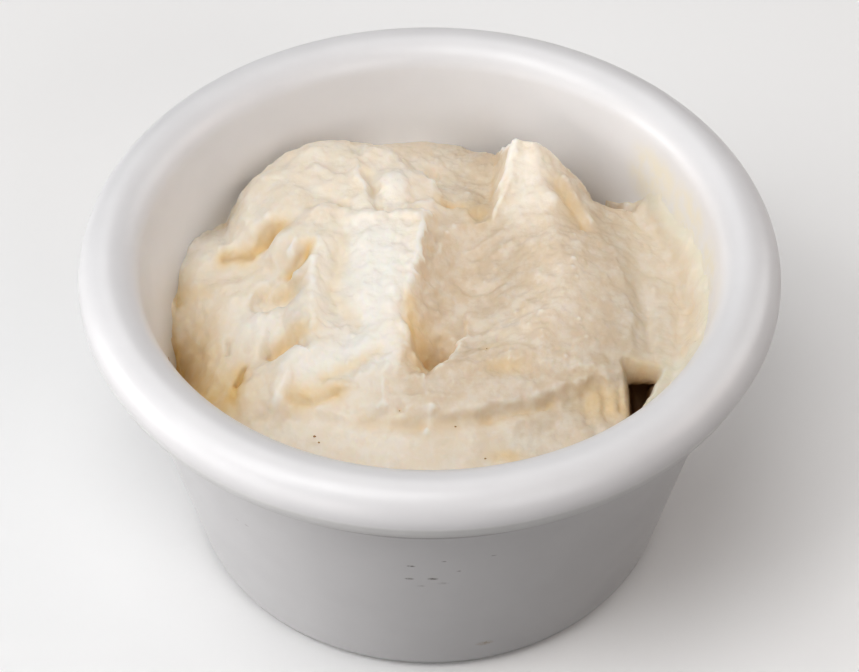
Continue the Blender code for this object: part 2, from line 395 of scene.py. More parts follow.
def front_ledge(x, y):
    """The step down to a lower layer along the front of the heap."""
    line = ledge_line(x)
    past_ends = np.clip(np.abs(x + 1) - 16, 0, None)
    lowered = np.exp(-(np.clip(line - y, 0, None) / 14) ** 2)
    softness = 0.55 - 0.05 * shelf(x - 5, 3)
    return -1.45 * shelf(line - y, softness) * lowered * np.exp(-(past_ends / 5) ** 2)


def wall_smear(pot, x, y):
    """Hummus wiped up the inside of the wall on the right, thinning to nothing."""
    bearing = np.degrees(np.arctan2(y, x))
    reach = np.exp(-(np.clip(np.abs(bearing - 7) - 20, 0, None) / 10) ** 2)
    inward = pot.mouth_radius - np.hypot(x, y)
    thinning = (0.27 + 0.10 * shelf(bearing - 20, 4)) * reach
    thick_at_foot = 1.9 * reach + thinning * 31
    face = (pot.taper * pot.rim_level + thick_at_foot - inward) / (pot.taper + thinning)
    return soft_min(face, 30 + 9.3 * reach, 1.0)


def heap_height(pot, x, y):
    """The level of the hummus over the point x, y."""
    level = soft_max(heap_body(x, y), spooned_slab(x, y), 0.8)
    level = soft_max(level, pulled_peak(x, y), 0.8)
    level = soft_min(level, back_fall(x, y), 0.6)
    level = scooped(x, y, level) + total(x, y, LEFT_LUMPS) + front_ledge(x, y)
    level = soft_max(level, wall_smear(pot, x, y), 2.5)
    level = level + swell(x, y, (26.4, 2.0), (1.7, 7.0), -0.9)
    back = HOLLOW_RIM + HOLLOW_SLOPE * (y - HOLLOW_BACK)
    left = HOLLOW_RIM + HOLLOW_SLOPE * (HOLLOW_LEFT - x)
    lining = HOLLOW_RIM + HOLLOW_SLOPE * (np.hypot(x, y) - HOLLOW_REACH)
    hollow = soft_max(soft_max(back, left, 2.0), lining, 2.0)
    return soft_min(level, soft_max(hollow, HOLLOW_FLOOR, 2.0), 2.2)


# ---- Finer marks on the heap ------------------------------------------------------
# A row of these tables is a form's function, then its sizes in the order that it takes them.

# The slab's bright left edge, its trough, and the chips along its crest
SLAB_MARKS = (
    (ridge, ((-13.8, 6.8), (-14.5, 3.5), (-14.3, -5), (-14.4, -9.6)), 0.9, 0.6),
    (ridge, ((-10.9, 8.9), (-11.5, 5), (-12.3, -0.4), (-11, -3.7), (-8.6, -6)), 1.4, -0.8),
    (ridge, ((-8.2, 7.5), (-8.6, 0), (-7.4, -5)), 1.0, 0.2),
    (swell, (-2.6, -4.4), (0.9, 2.3), -0.8, 8, 3), (swell, (-3.2, -7.2), (0.9, 0.8), 0.4),
    (ridge, ((-4.6, -1.6), (-5.4, -5.6), (-5.0, -9)), 0.8, 0.3),
    (swell, (-9.1, -1.3), (0.8, 0.5), -0.25),
    (ridge, ((-6.4, -10.4), (-8.4, -11.8), (-12.8, -13.4)), 0.9, -0.5),
    (ridge, ((-4.6, -11.5), (-5.6, -14.2), (-5.6, -17.4)), 0.7, 0.5),
    (swell, (-3.4, -14.2), (1.0, 1.5), -0.3), (swell, (-12.8, -9.0), (1.6, 1.3), 0.35),
    (ridge, ((-7.0, -13.2), (-9.5, -14.6), (-12.0, -14.6)), 0.8, 0.35),
)

# The zigzag crest, the lump beside it and the torn back edge of the slab
BACK_MARKS = (
    (torn_edge, ((-6.8, 11.6), (-7.9, 15.9), (-8.9, 18.6), (-8.7, 19.8), (-9.6, 24.0)),
     1.8, 0.4, 0.35),
    (ridge, ((-9.6, 24.0), (-8.7, 19.8), (-8.9, 18.6), (-7.9, 15.9), (-6.8, 11.6)), 1.1, 0.55),
    (ridge, ((-7.9, 19.4), (-7.1, 16.6), (-7.2, 14.1), (-6.1, 12.2), (-5.0, 11.8)), 0.7, -0.8),
    (swell, (-4.4, 16.9), (1.8, 2.7), 1.2, 10, 3), (swell, (-1.9, 15.2), (0.9, 2.4), -0.5),
    (ridge, ((-1.4, 10.4), (-3.4, 10.6), (-5.2, 11.2), (-6.8, 10.6), (-8.6, 10.9)), 0.6, 0.35),
    (ridge, ((-16.5, 17.5), (-12.6, 15.2), (-9.6, 12.6)), 0.8, -0.35),
    (ridge, ((-14.5, 20.5), (-11.5, 18.2)), 0.6, 0.3),
    (torn_edge, ((-9.5, 12.8), (-12.6, 13.8), (-16.4, 12.6)), 1.6, 0.3, 0.4),
    (swell, (-1.2, 20.5), (2.4, 2.4), 0.6), (swell, (-9.5, 24.4), (0.9, 2.2), -1.1),
    (swell, (-6.0, 24.2), (2.6, 2), 0.8), (swell, (-1.9, 24.0), (1.3, 2.2), -0.7),
    (swell, (0.4, 24.6), (0.9, 2.4), -1.1), (swell, (3.2, 26.0), (1.8, 2.4), 0.5),
    (swell, (-15.4, 24.0), (1.8, 1.8), 0.8), (swell, (-18.6, 22.4), (1.0, 1.6), -0.7),
    (swell, (-21, 19.4), (1.6, 1.4), 0.5),
    (ridge, ((-2.6, 13.0), (0.0, 14.6), (1.0, 16.6), (0.6, 19.4)), 0.9, 0.9),
    (swell, (3.0, 24.5), (6.0, 3.0), -1.0, 0, 4), (swell, (7.4, 20.0), (1.7, 3.4), -0.9),
    (ridge, ((8.4, 14.4), (10.2, 18.0), (11.0, 22.6)), 0.6, 0.3),
)

# The folds, the drag marks of the spoon and the deep pit in the scooped hollow
VALLEY_MARKS = (
    (torn_edge, ((4.9, 0.6), (4.3, -3.2), (4.4, -5.0), (3.3, -6.2), (3.3, -7.6), (2.4, -8.8),
                 (2.0, -10.2), (1.2, -11.0), (0.2, -12.6), (-2.2, -13.0)), 1.2, 0.55, 0.18),
    (swell, (-0.3, -9.7), (3.6, 2.3), -1.9, 66, 4), (swell, (1.7, -7.4), (1.2, 1.0), -0.8, 0, 3),
    (swell, (0.8, -4.8), (0.7, 0.9), -0.4),
    (ridge, ((-0.7, 1.6), (0.9, 1.0), (1.1, -0.8), (0.4, -2.2)), 0.45, 0.22),
    (ridge, ((3.2, 4.4), (4.8, 2.8), (7.0, 2.4), (9.2, 3.4)), 0.4, -0.3),
    (ridge, ((4.4, 8.6), (6.6, 9.6), (9.2, 11.4)), 0.45, 0.25),
    (ridge, ((5.6, 7.2), (8.2, 8.0), (10.6, 9.6)), 0.45, 0.2),
    (swell, (2.8, 16.4), (1.7, 0.8), -0.7, 0, 3), (swell, (5.9, 14.8), (1.1, 1.4), -0.6, 0, 3),
    (ridge, ((3.2, 12.2), (5.6, 12.4), (8.4, 13.6)), 0.6, 0.3),
    (swell, (7.1, -8.3), (0.7, 0.6), -0.4), (swell, (9.4, -11.9), (2.2, 1.0), -0.5),
    (swell, (5.6, -9.6), (1.8, 1.4), 0.4), (swell, (4.4, -12.4), (2.2, 1.3), 0.3),
)

# The creases under the front ledge, and the drip that hangs from it
FRONT_MARKS = (
    (ridge, ((6.5, -18.6), (10.2, -17.6), (12.6, -16.8), (14.8, -15.6)), 0.6, -0.5),
    (ridge, ((-17.2, -15.7), (-14.0, -16.4), (-11.2, -15.6)), 0.6, -0.7),
    (ridge, ((-9.5, -17.6), (-6.0, -18.4), (-3.4, -18.2)), 0.5, -0.4),
    (ridge, ((8.5, -15.2), (12.2, -14.3)), 0.9, 0.4), (swell, (0.3, -18.4), (1.0, 0.8), 0.9),
    (swell, (0.0, -19.5), (0.6, 1.0), 0.8), (swell, (-0.4, -20.6), (0.7, 0.6), 0.9),
    (ridge, ((-4.0, -16.6), (2.8, -16.8)), 0.6, 0.3), (swell, (-3.5, -17.7), (0.4, 0.4), -0.6),
    (swell, (-1.7, -15.9), (0.8, 0.5), -0.4), (swell, (-15.4, -18.4), (3.2, 1.6), 0.5, -25),
    (ridge, ((-13.6, -18.8), (-8.0, -20.6), (-3.0, -21.2)), 0.8, 0.25),
    (ridge, ((-4.0, -19.8), (3.0, -20.4), (8.0, -19.6)), 0.8, -0.2),
)

# The fluted front of the right mound, the ridge under the peak and the smear
RIGHT_MARKS = (
    (torn_edge, ((15.8, -16.0), (17.6, -14.6), (19.4, -12.8), (21.6, -12.6), (24.2, -11.2)),
     2.4, 0.6, 0.4),
    (ridge, ((18.8, -14.6), (19.0, -18.4)), 0.5, -0.4),
    (ridge, ((21.0, -13.8), (21.2, -17.8)), 0.5, -0.4),
    (ridge, ((23.0, -13.4), (23.0, -16.8)), 0.4, -0.3),
    (ridge, ((17.4, 18.6), (19.6, 15.6), (20.6, 13.4)), 0.7, 0.6),
    (ridge, ((16.6, 16.6), (18.6, 13.6), (19.8, 11.6)), 0.8, -0.8),
    (ridge, ((14.6, 16.4), (15.6, 13.6)), 0.8, 0.35), (ridge, ((27.4, 0), (27.0, -7)), 0.6, -0.45),
    (ridge, ((24.8, -2), (24.6, -8)), 0.9, 0.3),
    (ridge, ((23.2, 8.6), (24.4, 3.0), (23.6, -3.0)), 0.9, 0.25),
)

# Slits, pits and small ridges on the left flank
LEFT_MARKS = (
    (ridge, ((-26.0, 9.2), (-24.3, 9.4), (-22.4, 9.0), (-20.9, 9.9), (-19.8, 10.5), (-18.0, 11.2)),
     0.5, -0.35),
    (swell, (-20.7, 9.9), (1.7, 1.0), -0.35, 35), (swell, (-23.8, 7.9), (3.0, 1.1), 1.1, 16),
    (swell, (-19.2, 8.6), (1.6, 0.9), 0.4, 35),
    (ridge, ((-26.5, 11.0), (-23.0, 11.4), (-20.6, 12.2)), 0.8, 0.35),
    (torn_edge, ((-24.4, 8.0), (-22.2, 7.6), (-20.4, 6.6), (-18.6, 4.6)), 1.4, 0.3),
    (swell, (-17.0, 6.1), (0.9, 1.4), 1.0, -20, 3),
    (ridge, ((-15.0, 6.8), (-15.2, 4.9), (-16.4, 4.0), (-17.6, 4.2)), 0.6, -0.6),
    (swell, (-18.3, 5.8), (0.6, 1.0), -0.35),
    (ridge, ((-22.8, 0.8), (-21.4, 3.0), (-19.4, 3.8), (-16.6, 2.8)), 0.8, 0.5),
    (swell, (-18.2, 1.4), (2.1, 0.9), 0.25), (swell, (-15.7, 1.4), (0.4, 0.4), -0.4),
    (torn_edge, ((-14.6, -10.4), (-16.2, -9.0), (-17.4, -7.8), (-18.6, -8.2), (-20.2, -7.6)),
     1.3, 0.8, 0.15),
    (swell, (-21.2, -6.6), (1.2, 1.6), 0.5), (swell, (-20.0, 2.2), (1.2, 1.8), 0.5),
    (swell, (-18.4, -2.6), (2.6, 1.5), 0.5), (swell, (-24.0, 1.6), (2.0, 1.4), 0.4),
    (ridge, ((-20.8, -0.4), (-17.6, -0.8), (-15.4, 0.2)), 0.6, -0.4),
    (torn_edge, ((-15.4, 3.6), (-19.2, 2.8), (-21.4, 0.8)), 1.2, 0.35),
    (ridge, ((-25.0, -3.6), (-24.9, -5.4)), 0.35, -0.5),
    (ridge, ((-22.7, -8.3), (-23.4, -9.6), (-23.6, -10.2)), 0.4, -0.6),
    (ridge, ((-23.6, -10.2), (-23.4, -12.8)), 0.4, -0.4),
    (ridge, ((-32.4, 8.6), (-32.0, 5.4)), 0.8, -1.0),
    (ridge, ((-29.8, 6.4), (-25.4, 4.2), (-22.0, 4.4)), 0.8, 0.3),
    (ridge, ((-27.6, -6.0), (-24.6, -11.4), (-21.6, -15.6)), 1.0, 0.35),
    (swell, (-30.0, 13.5), (3.6, 3.0), 1.3, 40), (swell, (-25.6, 18.6), (1.4, 1.8), -0.7),
)

FINE_MARKS = SLAB_MARKS + BACK_MARKS + VALLEY_MARKS + FRONT_MARKS + RIGHT_MARKS + LEFT_MARKS

# Where the paste is golden, from 0 to 1: oil, and painted shade in pits, folds and the low left
GOLDEN_PATCHES = (
    (swell, (2.8, 16.4), (2.2, 1.0), 0.55), (swell, (6.2, 14.9), (1.5, 1.9), 0.5),
    (swell, (7.0, 20.0), (3.0, 6.0), 0.12), (swell, (7.1, -8.3), (1.0, 0.8), 0.4),
    (swell, (9.4, -11.9), (2.6, 1.2), 0.45), (swell, (9.2, -23.4), (2.2, 0.9), 0.6),
    (swell, (-18.1, 1.4), (2.4, 1.2), 0.5), (swell, (-17.0, -6.6), (2.8, 1.4), 0.55, 0, 3),
    (ridge, ((-15.0, 6.4), (-15.4, 4.6), (-17.4, 4.0)), 0.8, 0.8),
    (swell, (-31.0, -5.0), (4.5, 7.0), 0.9, 10), (swell, (-26.4, -12.5), (5.0, 5.0), 0.75, -30),
    (ridge, ((-23.2, -8.4), (-23.8, -12.4)), 0.9, 0.5), (swell, (-32.2, 7.0), (1.6, 2.4), 0.5),
    (swell, (-29.0, 5.0), (2.6, 1.4), 0.3), (swell, (17.8, 15.0), (1.4, 3.4), 0.5, 30),
    (swell, (21.4, -15.4), (3.4, 2.6), 0.7),
    (ridge, ((-26.0, 9.2), (-22.4, 9.1), (-20.8, 9.8), (-19.0, 10.7)), 1.2, 0.8),
    (ridge, ((-16.3, -15.8), (-12.6, -15.5), (-11.0, -15.2)), 1.2, 0.6),
    (ridge, ((-2.4, -2.2), (-2.4, -6.6)), 0.8, 0.5),
    (ridge, ((-0.6, -5.4), (-1.0, -11.0)), 2.0, 0.5),
    (ridge, ((-10.8, 8), (-12.2, -0.4), (-9, -5.8)), 1.0, 0.22),
    (ridge, ((-6.4, -10.4), (-12.6, -13.3)), 0.9, 0.4),
    (ridge, ((-9.0, -19.0), (0, -19.6), (8.0, -18.4), (14.8, -16.0)), 0.8, 0.18),
    (swell, (26, -9.8), (3.0, 1.2), 0.5),
)


# Painted shade at the bottoms of deep creases and in the low hollow by the left wall
CREASE_SHADE = (
    (swell, (-32.6, -5.0), (2.2, 6.5), 0.55, 12),
    (ridge, ((-20.4, 9.9), (-19.7, 10.6)), 0.45, 0.25),
    (ridge, ((-26.0, 9.2), (-24.0, 9.4), (-22.6, 9.0)), 0.5, 0.22),
    (ridge, ((-15.2, 5.0), (-17.0, 4.0)), 0.4, 0.15),
    (ridge, ((-22.7, -8.4), (-23.5, -10.0)), 0.45, 0.3),
    (ridge, ((-25.0, -3.8), (-24.9, -5.2)), 0.35, 0.2), (swell, (-15.6, -8.6), (1.0, 0.5), 0.12),
    (swell, (1.7, -7.4), (1.2, 1.0), 0.30),
)


def deep_shade_patches(place):
    """Painted shade, from 0 to 1: deep brown in the hole, under its lip and in deep creases."""
    x, y, z = place.T
    hole = shelf(x - 23.6, 0.3) * shelf(-4.0 - y, 0.5) * shelf(29.6 - z, 0.5)
    lip_shadow = swell(x, y, (26.0, -9.8), (2.6, 1.2), 0.2) * shelf(31.4 - z, 0.7)
    return 0.75 * hole + lip_shadow + total(x, y, CREASE_SHADE)


# Places where the painted shade right of the crest is lighter
LESS_SHADE_TAN = (
    (swell, (12.5, 20), (3.5, 4.5), 0.9), (swell, (8, -5), (4, 3.5), 0.6),
    (swell, (0, -23), (22, 5.5), 0.75, 0, 4), (swell, (0, 20), (7, 8), 0.5, 0, 4),
    (swell, (16, 2), (6, 14), 0.15),
)


def shade_tan_share(x, y):
    """Painted shade: 0 left of the crest, 1 in the scooped hollow that faces away from the light.
    """
    spread = 0.35 + 0.4 * np.clip(y - 9, 0, None) + 0.6 * np.clip(-y - 12.5, 0, None)
    right = shelf(x - crest_line(y) - 0.2 + 0.5 * shelf(-y - 8, 1), spread)
    lighter = total(x, y, LESS_SHADE_TAN) + 0.6 * shelf(x - 25, 1.5)
    return np.clip(right - lighter + swell(x, y, (-10, -20.5), (7, 3.5), 0.5), 0, 1)


# Painted light: where the paste is made pale on lit faces and crests
LIT_PALE_PATCHES = (
    (swell, (-8, 1), (6.2, 11), 0.85, -3, 5), (swell, (-8, -11), (6.5, 3), 0.7, 0, 3),
    (swell, (-21.5, -3.5), (4.5, 3.5), 0.7), (swell, (-4.6, 17), (2.2, 3), 0.7),
    (swell, (12.3, 17), (3, 6), 0.4), (swell, (0.1, -19.2), (1.0, 2.2), 1.4),
    (swell, (-27, 11), (5, 3), 0.3), (swell, (-16, -11.5), (4, 3), 0.6),
    (swell, (-11.5, 0), (1.6, 8), -0.25),
)


def lit_pale_share(x, y):
    """How pale the paste is: painted light on lit faces, taken away right of the crest."""
    beyond_crest = shelf(x - crest_line(y), 0.3) * (y < 9)
    return np.clip(total(x, y, LIT_PALE_PATCHES) - beyond_crest, 0, 1)


# ---- The ramekin ----------------------------------------------------------------

class Pot:
    """The ramekin's sizes in millimetres, worked out from its settings."""

    def __init__(self, settings):
        self.rim_half_width = settings.rim_width / 2 / MM
        self.rim_half_height = settings.rim_height / 2 / MM
        self.base_radius = settings.base_width / 2 / MM
        self.taper = settings.wall_taper
        self.rim_radius = TOP_RADIUS - self.rim_half_width
        self.rim_level = HEIGHT - self.rim_half_height
        self.mouth_radius = self.rim_radius - self.rim_half_width

    def inner_radius(self, level):
        """The radius of the inside of the wall at a level."""
        return self.mouth_radius + (level - self.rim_level) * self.taper


def arc(middle, radii, start, end, steps):
    """Points of an arc between two angles in degrees, its ends included."""
    points = []
    for step in range(steps + 1):
        angle = math.radians(start + (end - start) * step / steps)
        points.append((middle[0] + radii[0] * math.cos(angle),
                       middle[1] + radii[1] * math.sin(angle)))
    return points


def ramekin_outline(pot):
    """The ramekin's section from the underside's middle, up the outside and back in."""
    lean = math.degrees(math.atan(pot.taper))
    foot_edge = pot.base_radius - BASE_ROUNDING - 0.2
    recess = foot_edge - FOOT_WIDTH
    foot = [(0, FOOT_DEPTH), (recess - 2 * FOOT_DEPTH, FOOT_DEPTH)]
    foot += arc((recess - FOOT_DEPTH, 0.5 * FOOT_DEPTH), (0.5 * FOOT_DEPTH,) * 2, 90, 0, 4)
    foot += arc((recess + 0.5 * FOOT_DEPTH, 0.5 * FOOT_DEPTH), (0.5 * FOOT_DEPTH,) * 2,
                180, 270, 4)
    base_edge = arc((foot_edge, BASE_ROUNDING), (BASE_ROUNDING, BASE_ROUNDING),
                    -90, -lean, ROUNDING_STEPS)
    centre = (pot.rim_radius, pot.rim_level)
    radii = (pot.rim_half_width, pot.rim_half_height)
    under = arc(centre, (radii[0] - MOULD_STEP, radii[1]), -101, -4, RIM_STEPS // 3)
    join = math.degrees(math.atan2(pot.taper * radii[1], radii[0]))
    over = arc(centre, radii, -2, 180 - join, RIM_STEPS)
    turn_in = FLOOR_HEIGHT + FLOOR_ROUNDING * (1 - math.sin(math.radians(lean)))
    floor_edge = pot.inner_radius(turn_in) - FLOOR_ROUNDING * math.cos(math.radians(lean))
    floor = arc((floor_edge, FLOOR_HEIGHT + FLOOR_ROUNDING),
                (FLOOR_ROUNDING, FLOOR_ROUNDING), -lean, -90, ROUNDING_STEPS)
    return foot + base_edge + under + over + floor + [(0, FLOOR_HEIGHT)]


def turn_ramekin(pot):
    """Turn the outline round Z."""
    mesh = bmesh.new()
    points = [mesh.verts.new((radius, 0, level)) for radius, level in ramekin_outline(pot)]
    edges = [mesh.edges.new(pair) for pair in zip(points, points[1:])]
    bmesh.ops.spin(mesh, geom=points + edges, axis=(0, 0, 1), cent=(0, 0, 0),
                   angle=math.tau, steps=TURN_STEPS, use_merge=True)
    bmesh.ops.remove_doubles(mesh, verts=mesh.verts, dist=0.001)
    bmesh.ops.recalc_face_normals(mesh, faces=mesh.faces)
    return mesh


# ---- The hummus -----------------------------------------------------------------

def rough(points, size, octaves=1, seed=0):
    """Fractal noise from about -1 to 1 at each point, with features `size` wide."""
    offset = 17.3 * seed
    return np.array([noise.fractal((x / size + offset, y / size - offset, z / size),
                                   1.0, 2.0, octaves)
                     for x, y, z in points])


def crumbs(points, size):
    """Scattered rounded crumbs of different heights, from 0 to about 1."""
    found = []
    for x, y, z in points:
        distances, places = noise.voronoi((x / size, y / size, z / size))
        found.append((distances[0], noise.cell(places[0] * 3.7)))
    found = np.array(found)
    mound = np.clip(1 - (found[:, 0] / 0.62) ** 2, 0, 1) ** 2
    return mound * np.clip(0.15 + 0.85 * found[:, 1], 0, 1)


def strokes(x, y):
    """Fine marks drawn out along the way that the spoon went, from about -1 to 1."""
    flat = np.zeros_like(x)
    down = rough(np.stack([x / 0.8, y / 4.5, flat], axis=1), 1.0, 2, seed=7)
    across = rough(np.stack([(x - y) / 5.0, (x + 2.2 * y) / 2.2, flat], axis=1), 1.0, 2, seed=8)
    at_back = shelf(y - 12 + 0.3 * x, 2) * shelf(2 - x, 2)
    return down * (1 - at_back) + across * at_back


def contact_radii(pot):
    """For each bearing, the radius at which the top of the hummus enters the wall."""
    bearings = np.linspace(-math.pi, math.pi, BEARINGS + 1)
    radii = np.arange(20, pot.mouth_radius + TUCK, SCAN_STEP)
    bearing, radius = np.meshgrid(bearings, radii, indexing="ij")
    level = heap_height(pot, radius * np.cos(bearing), radius * np.sin(bearing))
    outside = radius - TUCK >= pot.inner_radius(level)
    return bearings, radii[np.argmax(outside, axis=1)]


def disc_from_square(u, v):
    """Move a square from -1 to 1 onto the disc of radius 1."""
    return u * np.sqrt(1 - v * v / 2), v * np.sqrt(1 - u * u / 2)


def lay_out_top(pot, mesh):
    """Where the grid's points lie in plan, out to just inside the wall."""
    grid = np.array([vert.co[:2] for vert in mesh.verts])
    across, along = disc_from_square(grid[:, 0], grid[:, 1])
    bearing = np.arctan2(along, across)
    part = np.clip(np.hypot(across, along), 0, 1)
    crowding = EDGE_CROWDING * math.pi / 2
    part = np.sin(part * crowding) / math.sin(crowding)
    radius = part * np.interp(bearing, *contact_radii(pot))
    return radius * np.cos(bearing), radius * np.sin(bearing)


# Where the paste tore most, and where it was smeared smooth
TORN = (
    (swell, (-6, -11), (8, 6), 0.5), (swell, (10, -9), (11, 7), 0.4),
    (swell, (-5, 12), (6, 3), 0.6), (swell, (20, 2), (5, 10), 0.35),
    (swell, (-20, -3), (5, 8), 0.3), (swell, (-4, 24), (14, 4), 0.6),
)
SMEARED = (
    (swell, (-17, 20), (8, 7), 0.8), (swell, (0, -24), (18, 5), 0.6),
    (swell, (29, 4), (3, 12), 0.8), (swell, (4, 2), (4, 7), 0.4), (swell, (-28, 2), (5, 12), 0.3),
    (swell, (10, 20), (3, 5), 0.5), (swell, (-30, -8), (7, 9), 0.8),
    (swell, (5, -17.0), (13, 2.2), 0.9, 8, 3),
)


def tornness(x, y):
    """How rough the paste was left, from 0 where it is smeared to 1 where it tore."""
    flat = np.stack([x, y, np.zeros_like(x)], axis=1)
    patchy = 0.5 + 0.9 * rough(flat, 6.0, 2, seed=5)
    torn = total(x, y, TORN)
    smeared = total(x, y, SMEARED)
    return np.clip(patchy + torn - smeared, 0.08, 1.2)


def shape_top(pot, mesh, settings):
    """Turn the grid into the heap's top, with torn edges, lumps and grain."""
    x, y = lay_out_top(pot, mesh)
    flat = np.stack([x, y, np.zeros_like(x)], axis=1)
    kept_smooth = np.maximum(near_hole(x, y), swell(x, y, (4, -18), (15, 3), 0.85, flatness=4))
    tear = settings.tear_depth / MM * (1 - kept_smooth)
    x_torn = x + tear * rough(flat, 2.4, 2, seed=1)
    y_torn = y + tear * rough(flat, 2.4, 2, seed=2)
    crest = ridge(x, y, ((-1.0, 10), (-1.8, 1.7), (-3.1, -7)), 0.9, 1)
    x_torn = x_torn + crest * 0.22 * rough(flat, 0.9, 2, seed=9)
    level = heap_height(pot, x_torn, y_torn) + total(x_torn, y_torn, FINE_MARKS)
    place = np.stack([x, y, level], axis=1)
    move_points(mesh, place)
    normal = np.array([vert.normal[:] for vert in mesh.verts])
    torn = tornness(x, y)
    relief = settings.lump_height / MM * rough(place, settings.lump_size / MM, 2, seed=3)
    relief += settings.clump_height / MM * torn * rough(place, settings.clump_size / MM, 2, seed=6)
    relief += settings.crumb_height / MM * torn * crumbs(place, settings.crumb_size / MM)
    relief += settings.stroke_height / MM * strokes(x, y)
    relief += settings.grain_height / MM * rough(place, settings.grain_size / MM, 2, seed=4)
    relief *= np.clip(3 * normal[:, 2] - 0.3, 0, 1)
    place = undercut(place + normal * relief[:, None])
    move_points(mesh, place)
    return place


def near_hole(x, y):
    """1 in the hole at the right and along its edges, falling to 0 around them."""
    return shelf(x - 23.2, 0.5) * shelf(-8.0 - y, 0.5)


def undercut(place):
    """Push the back wall of the hole in under its rounded lip."""
    x, y, z = place.T
    below = np.clip((30.6 - z) / 2.5, 0, 1)
    near = shelf(x - 24.0, 0.5) * np.exp(-(np.clip(np.abs(y + 9.4) - 1.2, 0, None) / 1.0) ** 2)
    inward = 3.0 * near * below * below * (3 - 2 * below)
    return np.stack([x, y + inward, z], axis=1)


def move_points(mesh, places):
    """Put the mesh's points at these places."""
    for vert, place in zip(mesh.verts, places):
        vert.co = place
    mesh.normal_update()


def blurred(level, passes):
    """The grid of levels, smoothed by so many passes."""
    for _ in range(passes):
        padded = np.pad(level, 1, mode="edge")
        level = (padded[:-2, 1:-1] + padded[2:, 1:-1] + padded[1:-1, :-2]
                 + padded[1:-1, 2:] + 2 * padded[1:-1, 1:-1]) / 6
    return level


def hollowness(place, passes):
    """How far each point lies below its surroundings, in millimetres."""
    side = GRID_CELLS + 1
    level = place[:, 2].reshape(side, side)
    below = (blurred(level, passes) - level).reshape(-1)
    return below * (1 - near_hole(place[:, 0], place[:, 1]))


def film_share(pot, place):
    """How thin the paste is on the wall: 1 where it is only a film, 0 where it is thick."""
    x, y, z = place.T
    bearing = np.degrees(np.arctan2(y, x))
    thickness = pot.inner_radius(z) - np.hypot(x, y)
    thin = np.clip((1.5 - thickness) / 1.2, 0, 1)
    high = np.clip((z - 33.5) / 3.5, 0, 1)
    towards_back = 0.6 * shelf(bearing - 18, 5) * shelf(34 - bearing, 4)
    lining = near_hole(x, y) * shelf(np.hypot(x, y) - 29.9, 0.3) * shelf(z - 26, 1.0)
    return np.clip(thin * high + towards_back * thin * shelf(z - 34, 1.0) + lining, 0, 1)


def extend_skirt(mesh, radius, level):
    """Carry the open edge on to a ring of a radius and level."""
    edge = [e for e in mesh.edges if e.is_boundary]
    made = bmesh.ops.extrude_edge_only(mesh, edges=edge)["geom"]
    for vert in (item for item in made if isinstance(item, bmesh.types.BMVert)):
        scale = radius / math.hypot(vert.co.x, vert.co.y)
        vert.co = (vert.co.x * scale, vert.co.y * scale, level)


def close_plug(pot, mesh):
    """Carry the edge down inside the wall and close the bottom."""
    extend_skirt(mesh, pot.inner_radius(PLUG_DEPTH) + TUCK, PLUG_DEPTH)
    extend_skirt(mesh, pot.inner_radius(PLUG_DEPTH) - 2, FLOOR_HEIGHT - TUCK)
    rim = [e for e in mesh.edges if e.is_boundary]
    bmesh.ops.contextual_create(mesh, geom=rim)
    bmesh.ops.recalc_face_normals(mesh, faces=mesh.faces)


def surface_at(place, x, y):
    """The point of the heap's top nearest to x, y."""
    return place[np.argmin(np.hypot(place[:, 0] - x, place[:, 1] - y))]


def add_crumb(mesh, at, radius, flatness, seed):
    """A small irregular lump, part of it sunk in the paste."""
    made = bmesh.ops.create_icosphere(mesh, subdivisions=2, radius=radius)["verts"]
    for vert in made:
        swollen = 1 + 0.45 * noise.noise(vert.co * (0.9 / radius) + Vector((seed, 0, 7.7)))
        vert.co = vert.co * swollen
    bmesh.ops.rotate(mesh, verts=made, matrix=Matrix.Rotation(seed, 3, "Z"))
    bmesh.ops.scale(mesh, verts=made, vec=(1, 0.8, flatness))
    bmesh.ops.translate(mesh, verts=made, vec=at)


def lay_specks(place):
    """Small brown specks of seasoning on the front of the heap."""
    mesh = bmesh.new()
    for seed, (x, y, radius) in enumerate(SPECKS):
        add_crumb(mesh, surface_at(place, x, y), radius, 0.5, 1.7 * seed)
    return mesh


# ---- Materials --------------------------------------------------------------------

